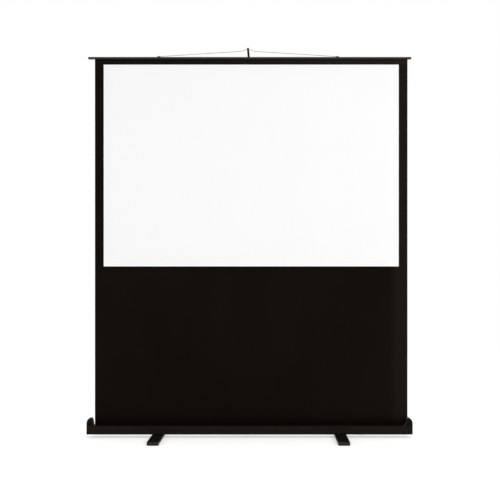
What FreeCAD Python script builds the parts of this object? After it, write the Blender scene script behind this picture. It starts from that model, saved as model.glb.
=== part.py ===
import FreeCAD, Part
import math
import os

# Floor-standing pull-up projection screen, in millimetres.
# +Z is up, +X is to the right seen from the front and +Y is to the back.
# The origin is on the floor, under the middle of the case.

V = FreeCAD.Vector
ORIGIN = V(0, 0, 0)
X_AXIS = V(1, 0, 0)
Y_AXIS = V(0, 1, 0)
Z_AXIS = V(0, 0, 1)

# Picture and fabric
PICTURE_W = 1626.0
PICTURE_H = 1112.0
PICTURE_Z = 937.5
SIDE_BORDER = 48.5
FABRIC_W = PICTURE_W + 2 * SIDE_BORDER
FABRIC_X = 8.0
FABRIC_T = 0.3
FABRIC_GAP = 0.3

# Case: a hollow profile with a slot in its roof, closed by moulded end caps
CASE_L = 1780.0
CASE_D = 60.0
CASE_Z = 19.5
CASE_TOP = 65.0
CASE_WALL = 1.8
CASE_EDGE_R = 2.5
CAP_T = 14.0
SHELL_L = CASE_L - 2 * CAP_T
SLOT_FRONT = 9.5
SLOT_REAR = 22.0
SLOT_BEAD_R = 1.6
PORT_R = 3.8
PORT_BORE_R = 2.0
PORT_INSET = 3.2

# Guard tongues of the end caps, seen from the front
TONGUE_T = 12.0
TONGUE_H = 48.0
TONGUE_START = 15.0
TONGUE_OUTER_R = 36.0
TONGUE_TIP_R = 13.0
TONGUE_FLARE_R = 16.0
TONGUE_LEAN = 8.5
TONGUE_EDGE = 1.0
TONGUE_SEAT = 0.1
TONGUE_ROOT = 8.0
TONGUE_CHAMFER = 2.0
DISH_RIM = 8.0
DISH_DEPTH = 9.0
DISH_INWARD = 4.0
DISH_STRETCH = 6.0
LOCATOR_L = 2.0
LOCATOR_GAP = 0.3
CAP_EDGE_R = 2.0

# Spring roller inside the case
ROLLER_Z = 43.2
ROLLER_R = 14.0
ROLLER_WALL = 1.2
ROLLER_L = 1725.0
WRAP_R = 14.8
JOURNAL_R = 4.0
RUNNING_FIT = 0.05
SEAT_FIT = 0.02
BUSH_R = 7.0
BUSH_DEPTH = 2.0
BUSH_SHORT = 0.5
BOSS_R = 12.0
IDLE_BOSS_L = 18.0
SPRING_BOSS_L = 2.4
PIN_DEPTH = 1.0
PLUG_L = 28.0
PLUG_FLANGE = 1.5
SPRING_START = 445.0
SPRING_END = 825.0
SPRING_R = 9.0
SPRING_WIRE = 1.6
SPRING_ANCHOR_L = 20.0
SPRING_ANCHOR_GAP = 2.0
SHAFT_PAST_PLUG = 4.0
SHAFT_GAP = 0.6
TANG_W = 6.0
TANG_T = 3.6
TANG_ROOT = 3.4
TANG_DEPTH = 6.0
TANG_SLOT_DEPTH = 7.0

# Top bar
BAR_L = 1776.0
BAR_CAP_T = 2.5
BAR_CAP_PLUG_L = 12.0
BAR_D = 18.0
BAR_H = 10.5
BAR_Z = 2078.5
BAR_TOP = BAR_Z + BAR_H
BAR_NOSE_R = 3.8
BAR_HEEL_R = 1.5
BAR_WALL = 1.5
FABRIC_Y = WRAP_R + FABRIC_GAP + FABRIC_T / 2
BAR_REAR = FABRIC_Y + 5.0
BAR_FRONT = BAR_REAR - BAR_D
GROOVE_R = 2.6
GROOVE_MOUTH = 1.8
GROOVE_Z = BAR_Z + 3.9
TOP_ROD_R = 2.0
HEM_DEPTH = 1.2

# Feet
FOOT_X = 500.0
FOOT_SHIFT = -2.0
FOOT_L = 440.0
FOOT_W = 62.5
FOOT_TOP = 18.0
FOOT_BAR_Z = 3.0
FOOT_WALL = 2.0
TIP_L = 16.0
TIP_Z = 1.5
TIP_CORNER_R = 9.0
TIP_TOP_R = 6.5
TIP_LOW_R = 3.5
PAD_W = 50.0
PAD_D = 10.0
PAD_H = 3.0
PAD_MARGIN = 1.0
PIVOT_R = 4.0
PIVOT_HEAD_R = 11.0
PIVOT_HEAD_T = 1.6
PIVOT_BLOCK_L = 60.0
NUT_FLATS = 13.0
NUT_T = 4.8
NUT_Z = 4.4
NUT_ROOM = 2.0
WASHER_R = 15.0
TIP_PLUG_GAP = 0.3

# Mast: three sliding tubes on a hinge behind the case, leaning slightly forward
MAST_X = -5.0
MAST_Y = 50.0
HINGE_Z = 42.0
MAST_LEAN = 0.55
LOWER_R = 12.5
MIDDLE_R = 9.5
UPPER_R = 6.5
TUBE_WALL = 1.2
KNUCKLE_T = 16.0
KNUCKLE_R = 11.0
LOWER_START = 30.0
LOWER_END = 716.0
MIDDLE_START = 640.0
MIDDLE_END = 1350.0
UPPER_START = 1300.0
UPPER_END = 2036.0
HINGE_BOLT_R = 4.0
BUSH_SLIDE_FIT = 0.1
GUIDE_L = 18.0
KNUCKLE_COLLAR_L = 7.0
KNUCKLE_PLUG_L = 20.0

# Hinge bracket, pivot bolt and rest of the mast, on the case's back
BRACKET_T = 4.0
BRACKET_HALF_W = 33.0
BRACKET_LOW = 23.0
BRACKET_HIGH = 61.0
BRACKET_CORNER_R = 5.0
BRACKET_SCREW_X = 25.0
BRACKET_SCREW_Z = (34.0, 50.0)
HINGE_GAP = 0.4
HINGE_BOSS_R = 10.0
STOP_T = 5.0
STOP_LOW = 46.0
STOP_HIGH = 58.0
STOP_SLOPE = 5.0
BOLT_HEAD_R = 8.0
BOLT_HEAD_T = 4.0
BOLT_HEAD_CHAMFER = 1.2
REST_X = 620.0
REST_HALF_L = 9.0
REST_PLATE_HALF = 23.0
REST_PLATE_T = 3.0
REST_PLATE_H = 32.0
REST_PLATE_LOW = 26.0
REST_CORNER_R = 4.0
REST_SCREW_X = 16.0
REST_GAP = 0.5
REST_WALL = 3.0
REST_LIP = 4.0
REST_ARM_H = 8.0

# Flip-lever clamps on the mast
CLAMP_WALL = 4.0
CLAMP_GRIP = 26.0
CLAMP_RISE = 24.0
CLAMP_PIN_R = 1.6
CLAMP_PIN_OUT = 4.6
LEVER_T = 3.5
LEVER_GAP = 0.5
LEVER_START = 97.0
LEVER_SWEEP = 118.0
LEVER_GRIP_SWELL = 0.4
EAR_T = 3.5
EAR_R = 4.2
EAR_INSET = 1.0
CLAMP_CHAMFER = 1.5
CLAMP_GRIP_FIT = 0.05
CLAMP_SLIDE_FIT = 0.3
SPLIT_OFFSET = 1.2
SPLIT_W = 2.2

# Hook at the top of the mast
HOOK_FLANGE_R = 7.5
HOOK_FLANGE_T = 5.0
FINGER_R = 6.0
FINGER_L = 62.0
FINGER_LEAN = 5.0
FINGER_CHAMFER = 1.2
HOOK_PLUG_L = 22.0
NOTCH_DEPTH = 4.9
NOTCH_W = 4.4

# Hanger wire and its anchors on the bar
WIRE_R = 1.1
ANCHOR_HALF = 493.0
ANCHOR_X = -9.0
ANCHOR_BASE_L = 25.0
ANCHOR_BASE_T = 2.5
ANCHOR_L = 12.0
ANCHOR_W = 9.0
ANCHOR_INSET = 1.0
ANCHOR_H = 7.0
ANCHOR_HOLE_Z = 4.6
ANCHOR_CHAMFER = 1.2
ANCHOR_SCREW_X = 9.0
ANCHOR_SCREW_R = 1.4
ANCHOR_SCREW_HEAD_R = 2.4
ANCHOR_SCREW_HEAD_T = 1.2
HUMP_HALF = 30.5
HUMP_BEND_R = 15.0
HOOK_BEND_R = 11.5
HUMP_DROP = 16.5

# Screws, and the play and overrun of holes
CAP_SCREW_HEAD_R = 3.5
CAP_SCREW_SINK = 2.6
CAP_SCREW_HEAD_T = 2.3
CAP_SCREW_L = 26.0
WALL_SCREW_R = 2.0
WALL_SCREW_HEAD_R = 3.6
WALL_SCREW_HEAD_T = 2.2
WALL_SCREW_BITE = 6.0
HOLE_PLAY = 0.1
CUT_OVER = 1.0
NEAR = 0.1


def block(x0, x1, y0, y1, z0, z1):
    """A box between two corners."""
    return Part.makeBox(x1 - x0, y1 - y0, z1 - z0, V(x0, y0, z0))


def rod(radius, start, end):
    """A round bar from one point to another."""
    return Part.makeCylinder(radius, (end - start).Length, start, end - start)


def sleeve(outer, inner, start, end):
    """A round tube from one point to another."""
    return rod(outer, start, end).cut(rod(inner, start, end))


def along_x(radius, x0, x1, y, z):
    """A round bar along X."""
    return rod(radius, V(x0, y, z), V(x1, y, z))


def along_z(radius, x, y, z0, z1):
    """A round bar along Z."""
    return rod(radius, V(x, y, z0), V(x, y, z1))


def hexagon(flats, x, y, z0, z1):
    """A hexagonal bar along Z, given across its flats."""
    corner_r = flats / math.sqrt(3)
    turns = [math.radians(60 * k) for k in range(7)]
    corners = [V(x + corner_r * math.cos(a), y + corner_r * math.sin(a), z0) for a in turns]
    return Part.Face(Part.makePolygon(corners)).extrude(V(0, 0, z1 - z0))


def straight_edges(solid, axis, wanted):
    """The solid's straight edges along an axis whose midpoint passes a test."""
    found = []
    for edge in solid.Edges:
        if edge.Curve.TypeId == "Part::GeomLine":
            direction = edge.tangentAt(edge.FirstParameter)
            if abs(abs(direction.dot(axis)) - 1) < 1e-6 and wanted(edge.CenterOfMass):
                found.append(edge)
    return found


def mirrored(shape):
    """The left-hand twin of a right-hand piece."""
    return shape.mirror(ORIGIN, X_AXIS)


def joined(shapes):
    """Separate solids that share one node."""
    return Part.makeCompound(shapes)


def fused(shapes):
    """One solid out of several that overlap."""
    return shapes[0].multiFuse(shapes[1:]).removeSplitter()


def on_mast(shape):
    """A piece drawn along +Z from the hinge, set on the leaning mast."""
    placed = shape.copy()
    placed.rotate(ORIGIN, X_AXIS, MAST_LEAN)
    placed.translate(V(MAST_X, MAST_Y, HINGE_Z))
    return placed


# Case

CASE_FRONT = -CASE_D / 2
CASE_REAR = CASE_D / 2
ROOF = CASE_TOP - CASE_WALL
FLOOR = CASE_Z + CASE_WALL
PORT_Y = CASE_REAR - CASE_WALL - PORT_INSET
PORT_PLACES = [(y, z) for y in (-PORT_Y, PORT_Y) for z in (FLOOR + PORT_INSET, ROOF - PORT_INSET)]
BRACKET_HOLES = [(MAST_X + x, z) for x in (-BRACKET_SCREW_X, BRACKET_SCREW_X) for z in BRACKET_SCREW_Z]
REST_HOLES = [(REST_X + step, HINGE_Z) for step in (-REST_SCREW_X, REST_SCREW_X)]


def case_outline(x0, x1):
    """The case's outer form with its rounded long edges."""
    outer = block(x0, x1, CASE_FRONT, CASE_REAR, CASE_Z, CASE_TOP)
    return outer.makeFillet(CASE_EDGE_R, straight_edges(outer, X_AXIS, lambda c: True))


def wall_holes(places, y0, y1):
    """Cutters for the screws in the case's rear wall and what is fixed to it."""
    radius = WALL_SCREW_R + HOLE_PLAY
    return [rod(radius, V(x, y0 - CUT_OVER, z), V(x, y1 + CUT_OVER, z)) for x, z in places]


def case_shell():
    """The profile: four walls, a slot with a rounded bead, and a screw port in each corner."""
    half = SHELL_L / 2
    wall = CASE_WALL
    hollow = block(-half, half, CASE_FRONT + wall, CASE_REAR - wall, FLOOR, ROOF)
    slot = block(-half, half, SLOT_FRONT, SLOT_REAR, ROOF - wall, CASE_TOP + wall)
    bead = along_x(SLOT_BEAD_R, -half, half, SLOT_FRONT, CASE_TOP - SLOT_BEAD_R)
    ports = [along_x(PORT_R, -half, half, y, z) for y, z in PORT_PLACES]
    bores = [along_x(PORT_BORE_R, -half, half, y, z) for y, z in PORT_PLACES]
    shell = case_outline(-half, half).cut(hollow).cut(slot)
    shell = fused([shell, bead] + ports)
    pivot_r = PIVOT_R + 2 * HOLE_PLAY
    pivot = along_z(pivot_r, 0, 0, CASE_Z - CUT_OVER, FLOOR + CUT_OVER)
    pivots = [at_foot(pivot, side) for side in (-1, 1)]
    screws = wall_holes(BRACKET_HOLES + REST_HOLES, CASE_REAR - wall, CASE_REAR)
    return shell.cut(bores + pivots + screws)


def tongue_outline(root):
    """The tongue in the plane Y = 0: an outer arc, a round tip and a hollow flare, all tangent.

    With a root, the outline also runs down into the cap's end plate.
    """
    lean = math.radians(TONGUE_LEAN)
    span = TONGUE_OUTER_R - TONGUE_TIP_R
    sweep = math.asin((TONGUE_H - TONGUE_START - TONGUE_TIP_R) / span)
    outer_centre = (TONGUE_OUTER_R, TONGUE_START)
    tip_centre = (TONGUE_OUTER_R - span * math.cos(sweep), TONGUE_H - TONGUE_TIP_R)
    flare_w = TONGUE_FLARE_R + TONGUE_EDGE
    tip_end_u = tip_centre[0] + TONGUE_TIP_R * math.cos(lean)
    tip_end_w = tip_centre[1] + TONGUE_TIP_R * math.sin(lean)
    drop = tip_end_w - flare_w + TONGUE_FLARE_R * math.sin(lean)
    flare_u = tip_end_u + drop * math.tan(lean) + TONGUE_FLARE_R * math.cos(lean)

    def at(u, w):
        return V(CASE_L / 2 - u, 0, CASE_TOP + w)

    def arc(centre, radius, first, last):
        angles = (first, (first + last) / 2, last)
        points = [at(centre[0] + radius * math.cos(a), centre[1] + radius * math.sin(a)) for a in angles]
        return Part.Arc(*points).toShape()

    outer = arc(outer_centre, TONGUE_OUTER_R, math.pi, math.pi - sweep)
    tip = arc(tip_centre, TONGUE_TIP_R, math.pi - sweep, lean)
    flare = arc((flare_u, flare_w), TONGUE_FLARE_R, math.pi + lean, 1.5 * math.pi)
    foot = [at(flare_u, TONGUE_SEAT)]
    if root:
        foot += [at(CAP_T, TONGUE_SEAT), at(CAP_T, -TONGUE_ROOT), at(0, -TONGUE_ROOT)]
    else:
        foot += [at(0, TONGUE_SEAT)]
    base = [flare.lastVertex().Point] + foot + [outer.firstVertex().Point]
    side = Part.makeLine(tip.lastVertex().Point, flare.firstVertex().Point)
    edges = [outer, tip, side, flare] + [Part.makeLine(a, b) for a, b in zip(base, base[1:])]
    return Part.Wire(Part.__sortEdges__(edges))


def tongue():
    """The guard tongue in front of the fabric's edge, with a chamfered rim and a deeply dished face."""
    solid = Part.Face(tongue_outline(True)).extrude(V(0, TONGUE_T, 0))

    def on_rim(edge):
        span = edge.BoundBox
        middle = edge.valueAt((edge.FirstParameter + edge.LastParameter) / 2)
        return max(abs(span.YMin), abs(span.YMax)) < 1e-6 and middle.z > CASE_TOP + 2 * TONGUE_EDGE

    solid = solid.makeChamfer(TONGUE_CHAMFER, [e for e in solid.Edges if on_rim(e)])
    dish = Part.Face(tongue_outline(False)).makeOffset2D(-DISH_RIM)
    pocket = dish.extrude(V(0, DISH_DEPTH, 0))
    pocket = pocket.fuse(pocket.translated(V(0, 0, -DISH_STRETCH)))
    pocket.translate(V(-DISH_INWARD, 0, 0))
    return solid.cut(pocket).translated(V(0, CASE_FRONT, 0))


def end_cap(boss_l, seat):
    """The right-hand cap: end plate, locating block, roller boss, guard tongue and screw holes."""
    inner = SHELL_L / 2
    end = CASE_L / 2
    plate = case_outline(inner, end)
    rim = [e for e in plate.Edges if abs(e.CenterOfMass.x - end) < 1e-6]
    plate = plate.makeFillet(CAP_EDGE_R, rim)
    gap = LOCATOR_GAP
    locator_front = -PORT_Y + PORT_R + gap
    locator_rear = SLOT_FRONT - SLOT_BEAD_R - gap
    locator = block(inner - LOCATOR_L, inner, locator_front, locator_rear, FLOOR + gap, ROOF - gap)
    boss = along_x(BOSS_R, inner - boss_l, inner, 0, ROLLER_Z)
    cap = fused([plate, locator, boss, tongue()])
    hole_r = PORT_BORE_R + 2 * HOLE_PLAY
    sink_r = CAP_SCREW_HEAD_R + 3 * HOLE_PLAY
    holes = [along_x(hole_r, inner - CUT_OVER, end + CUT_OVER, y, z) for y, z in PORT_PLACES]
    sinks = [along_x(sink_r, end - CAP_SCREW_SINK, end + CUT_OVER, y, z) for y, z in PORT_PLACES]
    return cap.cut(holes + sinks + [seat])


BUSH_SEAT = SHELL_L / 2 + BUSH_DEPTH


def left_end_cap():
    """The idle-end cap, bored for the roller's bush."""
    mouth = SHELL_L / 2 - IDLE_BOSS_L - CUT_OVER
    return mirrored(end_cap(IDLE_BOSS_L, along_x(BUSH_R, mouth, BUSH_SEAT, 0, ROLLER_Z)))


def right_end_cap():
    """The spring-end cap, with a flat slot that keeps the spring shaft from turning."""
    mouth = SHELL_L / 2 - SPRING_BOSS_L - CUT_OVER
    bottom = SHELL_L / 2 + TANG_SLOT_DEPTH
    half_w = TANG_W / 2 + HOLE_PLAY
    half_t = TANG_T / 2 + HOLE_PLAY
    slot = block(mouth, bottom, -half_t, half_t, ROLLER_Z - half_w, ROLLER_Z + half_w)
    return end_cap(SPRING_BOSS_L, slot)


def screw(head, direction, length, head_r, head_t, shank_r):
    """A pan-head screw: head is the point under its head, direction is its shank's."""
    crown = rod(head_r, head, head - direction * head_t)
    return crown.fuse(rod(shank_r, head, head + direction * length)).removeSplitter()


def end_cap_screws():
    """Four screws through each end cap into the profile's ports."""
    seat = CASE_L / 2 - CAP_SCREW_SINK
    shank_r = PORT_BORE_R - HOLE_PLAY
    right = []
    for y, z in PORT_PLACES:
        head = V(seat, y, z)
        right.append(screw(head, -X_AXIS, CAP_SCREW_L, CAP_SCREW_HEAD_R, CAP_SCREW_HEAD_T, shank_r))
    return joined(right + [mirrored(s) for s in right])


# Spring roller, which lies off the middle of the case as the fabric does

ROLLER_END = ROLLER_L / 2
ROLLER_BORE_R = ROLLER_R - ROLLER_WALL
BUSH_INNER = -SHELL_L / 2 + IDLE_BOSS_L - BUSH_SHORT
PIN_END = SHELL_L / 2 + PIN_DEPTH
TANG_END = SHELL_L / 2 + TANG_DEPTH
SPRING_ANCHOR_END = SPRING_START - SPRING_ANCHOR_GAP
SHAFT_START = SPRING_ANCHOR_END - SPRING_ANCHOR_L - SHAFT_PAST_PLUG
SHAFT_END = SHELL_L / 2 - SPRING_BOSS_L - SHAFT_GAP
TANG_START = SHAFT_END - TANG_ROOT


def with_fabric(shape):
    """A piece drawn about the middle, moved to where the fabric hangs."""
    return shape.translated(V(FABRIC_X, 0, 0))


def roller_tube():
    """The tube that the fabric winds on."""
    start = V(-ROLLER_END, 0, ROLLER_Z)
    end = V(ROLLER_END, 0, ROLLER_Z)
    return with_fabric(sleeve(ROLLER_R, ROLLER_BORE_R, start, end))


def fabric_wrap():
    """The last turns of fabric, which stay on the roller."""
    start = V(-FABRIC_W / 2, 0, ROLLER_Z)
    end = V(FABRIC_W / 2, 0, ROLLER_Z)
    return with_fabric(sleeve(WRAP_R, ROLLER_R + SEAT_FIT, start, end))


def roller_bush():
    """The plain bush in the left cap."""
    start = V(-BUSH_SEAT, 0, ROLLER_Z)
    end = V(BUSH_INNER, 0, ROLLER_Z)
    return sleeve(BUSH_R - SEAT_FIT, JOURNAL_R + RUNNING_FIT, start, end)


def end_plug(bore_r):
    """A flanged plug for the roller's right-hand end, with its bore."""
    body = along_x(ROLLER_BORE_R - SEAT_FIT, ROLLER_END - PLUG_L, ROLLER_END, 0, ROLLER_Z)
    flange = along_x(ROLLER_R, ROLLER_END, ROLLER_END + PLUG_FLANGE, 0, ROLLER_Z)
    plug = fused([body, flange])
    if bore_r:
        plug = plug.cut(along_x(bore_r, ROLLER_END - PLUG_L, ROLLER_END + PLUG_FLANGE, 0, ROLLER_Z))
    return plug


def roller_idle_plug():
    """The left-hand plug with the pin that runs in the bush."""
    pin = along_x(JOURNAL_R, ROLLER_END - PLUG_L, PIN_END + FABRIC_X, 0, ROLLER_Z)
    return with_fabric(mirrored(fused([end_plug(0), pin])))


def roller_spring_plug():
    """The right-hand plug, which runs on the fixed shaft."""
    return with_fabric(end_plug(JOURNAL_R + RUNNING_FIT))


def spring_anchor_plug():
    """The plug inside the tube that the spring's inner end is hooked into."""
    start = V(SPRING_ANCHOR_END - SPRING_ANCHOR_L, 0, ROLLER_Z)
    end = V(SPRING_ANCHOR_END, 0, ROLLER_Z)
    return sleeve(ROLLER_BORE_R - SEAT_FIT, JOURNAL_R + RUNNING_FIT, start, end)


def spring_shaft():
    """The fixed shaft through the spring, with a flat tang that sits in the right cap."""
    shaft = along_x(JOURNAL_R, SHAFT_START, SHAFT_END, 0, ROLLER_Z)
    half_w = TANG_W / 2
    half_t = TANG_T / 2
    tang = block(TANG_START, TANG_END, -half_t, half_t, ROLLER_Z - half_w, ROLLER_Z + half_w)
    return fused([shaft, tang])


def roller_spring():
    """The close-wound torsion spring, as the sleeve that its touching turns make."""
    start = V(SPRING_START, 0, ROLLER_Z)
    end = V(SPRING_END, 0, ROLLER_Z)
    return sleeve(SPRING_R, SPRING_R - SPRING_WIRE, start, end)


# Fabric

FABRIC_TOP = BAR_Z + HEM_DEPTH


def fabric_sheet(x_half, z0, z1):
    """A flat piece of the fabric."""
    half_t = FABRIC_T / 2
    return with_fabric(block(-x_half, x_half, FABRIC_Y - half_t, FABRIC_Y + half_t, z0, z1))


def picture_sheet():
    """The white picture area."""
    return fabric_sheet(PICTURE_W / 2, PICTURE_Z, PICTURE_Z + PICTURE_H)


def black_surround():
    """The black drop and borders around the picture."""
    return fabric_sheet(FABRIC_W / 2, ROLLER_Z, FABRIC_TOP).cut(picture_sheet())


# Top bar

def bar_outline(x0, x1):
    """The bar's section: a round nose in front and eased corners behind."""
    bar = block(x0, x1, BAR_FRONT, BAR_REAR, BAR_Z, BAR_TOP)
    bar = bar.makeFillet(BAR_NOSE_R, straight_edges(bar, X_AXIS, lambda c: c.y < BAR_FRONT + NEAR))
    return bar.makeFillet(BAR_HEEL_R, straight_edges(bar, X_AXIS, lambda c: c.y > BAR_REAR - NEAR))


BAR_END = BAR_L / 2 - BAR_CAP_T
CHAMBER_FRONT = BAR_FRONT + BAR_NOSE_R
CHAMBER_REAR = FABRIC_Y - GROOVE_R - BAR_WALL


def bar_chamber(x0, x1, gap):
    """The hollow in front of the bar's groove, drawn in by a gap."""
    inset = BAR_WALL + gap
    return block(x0, x1, CHAMBER_FRONT + gap, CHAMBER_REAR - gap, BAR_Z + inset, BAR_TOP - inset)


def top_bar():
    """The hollow bar with the round groove that holds the fabric."""
    groove = along_x(GROOVE_R, -BAR_END, BAR_END, FABRIC_Y, GROOVE_Z)
    half = GROOVE_MOUTH / 2
    mouth = block(-BAR_END, BAR_END, FABRIC_Y - half, FABRIC_Y + half, BAR_Z - CUT_OVER, GROOVE_Z)
    return bar_outline(-BAR_END, BAR_END).cut([bar_chamber(-BAR_END, BAR_END, 0), groove, mouth])


def right_bar_cap():
    """The moulded cap that closes the bar's end."""
    flange = bar_outline(BAR_END, BAR_L / 2)
    return fused([flange, bar_chamber(BAR_END - BAR_CAP_PLUG_L, BAR_END, HOLE_PLAY)])


def fabric_top_rod():
    """The rod in the fabric's top hem, slid into the bar's groove."""
    return with_fabric(along_x(TOP_ROD_R, -FABRIC_W / 2, FABRIC_W / 2, FABRIC_Y, GROOVE_Z))


# Feet

def foot_bar():
    """The hollow foot profile, drilled for the pivot."""
    y = FOOT_L / 2 - TIP_L
    half = FOOT_W / 2
    wall = FOOT_WALL
    bar = block(-half, half, -y, y, FOOT_BAR_Z, FOOT_TOP)
    bar = bar.makeFillet(wall, straight_edges(bar, Y_AXIS, lambda c: True))
    hollow = block(-half + wall, half - wall, -y, y, FOOT_BAR_Z + wall, FOOT_TOP - wall)
    pivot = along_z(PIVOT_R + RUNNING_FIT, 0, 0, FOOT_BAR_Z, FOOT_TOP + CUT_OVER)
    access = along_z(NUT_FLATS / 2 + NUT_ROOM, 0, 0, FOOT_BAR_Z - CUT_OVER, FOOT_BAR_Z + wall)
    return bar.cut([hollow, pivot, access])


def foot_pivot_block():
    """The block inside the profile that turns on the pivot bolt."""
    half = FOOT_W / 2 - FOOT_WALL - HOLE_PLAY
    base = FOOT_BAR_Z + FOOT_WALL
    body = block(-half, half, -PIVOT_BLOCK_L / 2, PIVOT_BLOCK_L / 2, base, FOOT_TOP - FOOT_WALL)
    bore = along_z(PIVOT_R + RUNNING_FIT, 0, 0, base, FOOT_TOP)
    recess = along_z(NUT_FLATS / 2 + NUT_ROOM, 0, 0, base - CUT_OVER, NUT_Z + NUT_T + 3 * HOLE_PLAY)
    return body.cut([bore, recess])


def foot_pad():
    """The rubber pad under the front tip."""
    rear = -FOOT_L / 2 + TIP_L - PAD_MARGIN
    return block(-PAD_W / 2, PAD_W / 2, rear - PAD_D, rear, 0, PAD_H)


def foot_tip():
    """The moulded front tip: a blunt round nose, rounded in plan, with a plug and a pad recess."""
    half = FOOT_W / 2
    end = -FOOT_L / 2
    joint = end + TIP_L
    body = block(-half, half, end, joint, TIP_Z, FOOT_TOP)
    middle_z = (TIP_Z + FOOT_TOP) / 2
    upper = straight_edges(body, X_AXIS, lambda c: c.y < end + NEAR and c.z > middle_z)
    lower = straight_edges(body, X_AXIS, lambda c: c.y < end + NEAR and c.z < middle_z)
    nose = body.makeFillet(TIP_TOP_R, upper)
    chin = body.makeFillet(TIP_LOW_R, lower)
    plan = body.makeFillet(TIP_CORNER_R, straight_edges(body, Z_AXIS, lambda c: c.y < end + NEAR))
    back = body.makeFillet(FOOT_WALL, straight_edges(body, Y_AXIS, lambda c: c.z > middle_z))
    tip = nose.common(chin).common(plan).common(back)
    inset = FOOT_WALL + TIP_PLUG_GAP
    plug_x = half - inset
    plug = block(-plug_x, plug_x, joint, joint + TIP_L, FOOT_BAR_Z + inset, FOOT_TOP - inset)
    return fused([tip, plug]).cut(foot_pad())


def rear_twin(shape):
    """The rear copy of a piece at the front of the foot."""
    return shape.mirror(ORIGIN, Y_AXIS)


def at_foot(shape, side):
    """A foot piece moved to its side of the case."""
    return shape.translated(V(FOOT_SHIFT + side * FOOT_X, 0, 0))


def foot_pivot_bolts():
    """Flat-headed pivot bolts, whose heads lie on the case's floor."""
    head = along_z(PIVOT_HEAD_R, 0, 0, FLOOR, FLOOR + PIVOT_HEAD_T)
    bolt = fused([head, along_z(PIVOT_R, 0, 0, NUT_Z, FLOOR)])
    return joined([at_foot(bolt, side) for side in (-1, 1)])


def foot_pivot_nuts():
    """Nuts sunk in the feet."""
    nut = hexagon(NUT_FLATS, 0, 0, NUT_Z, NUT_Z + NUT_T)
    nut = nut.cut(along_z(PIVOT_R + SEAT_FIT, 0, 0, 0, FOOT_TOP))
    return joined([at_foot(nut, side) for side in (-1, 1)])


def foot_pivot_washers():
    """Nylon washers between the case and the feet."""
    washer = sleeve(WASHER_R, PIVOT_R + HOLE_PLAY, V(0, 0, FOOT_TOP + HOLE_PLAY), V(0, 0, CASE_Z))
    return joined([at_foot(washer, side) for side in (-1, 1)])


# Mast hinge and rest

BRACKET_REAR = CASE_REAR + BRACKET_T
REST_REAR = CASE_REAR + REST_PLATE_T
BOLT_START = CASE_REAR - MAST_Y + CUT_OVER


def screwed_plate(x0, x1, y1, z0, z1, corner_r):
    """A plate with rounded corners that lies on the case's back."""
    plate = block(x0, x1, CASE_REAR, y1, z0, z1)
    return plate.makeFillet(corner_r, straight_edges(plate, Y_AXIS, lambda c: True))


def mast_bracket():
    """The hinge plate on the case's back, with a boss for the bolt and a stop for the upright mast."""
    x0 = MAST_X - BRACKET_HALF_W
    x1 = MAST_X + BRACKET_HALF_W
    plate = screwed_plate(x0, x1, BRACKET_REAR, BRACKET_LOW, BRACKET_HIGH, BRACKET_CORNER_R)
    face = -KNUCKLE_T / 2 - HINGE_GAP
    boss = on_mast(rod(HINGE_BOSS_R, V(0, BRACKET_REAR - MAST_Y - CUT_OVER, 0), V(0, face, 0)))
    stop_x = MAST_X - KNUCKLE_R - HINGE_GAP
    root_y = BRACKET_REAR - CUT_OVER
    gusset = [
        V(stop_x, root_y, STOP_LOW),
        V(stop_x, MAST_Y, STOP_LOW),
        V(stop_x, MAST_Y, STOP_HIGH - STOP_SLOPE),
        V(stop_x, root_y, STOP_HIGH),
    ]
    stop = Part.Face(Part.makePolygon(gusset + gusset[:1])).extrude(V(-STOP_T, 0, 0))
    bracket = fused([plate, boss, stop])
    bore = on_mast(rod(HINGE_BOLT_R + SEAT_FIT, V(0, BOLT_START, 0), V(0, 0, 0)))
    return bracket.cut([bore] + wall_holes(BRACKET_HOLES, CASE_REAR, BRACKET_REAR))


def wall_screws(places, seat):
    """Screws from behind into the case's rear wall."""
    length = seat - CASE_REAR + WALL_SCREW_BITE
    screws = []
    for x, z in places:
        head = V(x, seat, z)
        screws.append(screw(head, -Y_AXIS, length, WALL_SCREW_HEAD_R, WALL_SCREW_HEAD_T, WALL_SCREW_R))
    return joined(screws)


def mast_pivot_bolt():
    """The shoulder bolt that the mast turns on."""
    reach = KNUCKLE_T / 2 + HINGE_GAP
    shank = rod(HINGE_BOLT_R, V(0, BOLT_START + 2 * HOLE_PLAY, 0), V(0, reach, 0))
    head = rod(BOLT_HEAD_R, V(0, reach, 0), V(0, reach + BOLT_HEAD_T, 0))
    rim = [e for e in head.Edges if e.BoundBox.YMin > reach + BOLT_HEAD_T - NEAR]
    return on_mast(fused([shank, head.makeChamfer(BOLT_HEAD_CHAMFER, rim)]))


def mast_rest():
    """The open cradle that the folded mast drops into."""
    pocket_r = LOWER_R + REST_GAP
    cradle_r = pocket_r + REST_WALL
    x0 = REST_X - REST_HALF_L
    x1 = REST_X + REST_HALF_L
    high = REST_PLATE_LOW + REST_PLATE_H
    wide = REST_PLATE_HALF
    plate = screwed_plate(REST_X - wide, REST_X + wide, REST_REAR, REST_PLATE_LOW, high, REST_CORNER_R)
    outer = along_x(cradle_r, x0, x1, MAST_Y, HINGE_Z)
    arm = block(x0, x1, REST_REAR - CUT_OVER, MAST_Y, HINGE_Z - REST_ARM_H, HINGE_Z)
    lips = block(x0, x1, MAST_Y - cradle_r, MAST_Y + cradle_r, HINGE_Z, HINGE_Z + REST_LIP)
    pocket = along_x(pocket_r, x0, x1, MAST_Y, HINGE_Z)
    above = HINGE_Z + 2 * cradle_r
    way_in = block(x0, x1, MAST_Y - pocket_r, MAST_Y + pocket_r, HINGE_Z, above)
    crown = block(x0, x1, REST_REAR, MAST_Y + 2 * cradle_r, HINGE_Z + REST_LIP, above)
    cradle = fused([plate, outer, arm, lips]).cut([pocket, way_in, crown])
    return cradle.cut(wall_holes(REST_HOLES, CASE_REAR, REST_REAR))


# Mast, drawn upright from the hinge and then set on the lean

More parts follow.
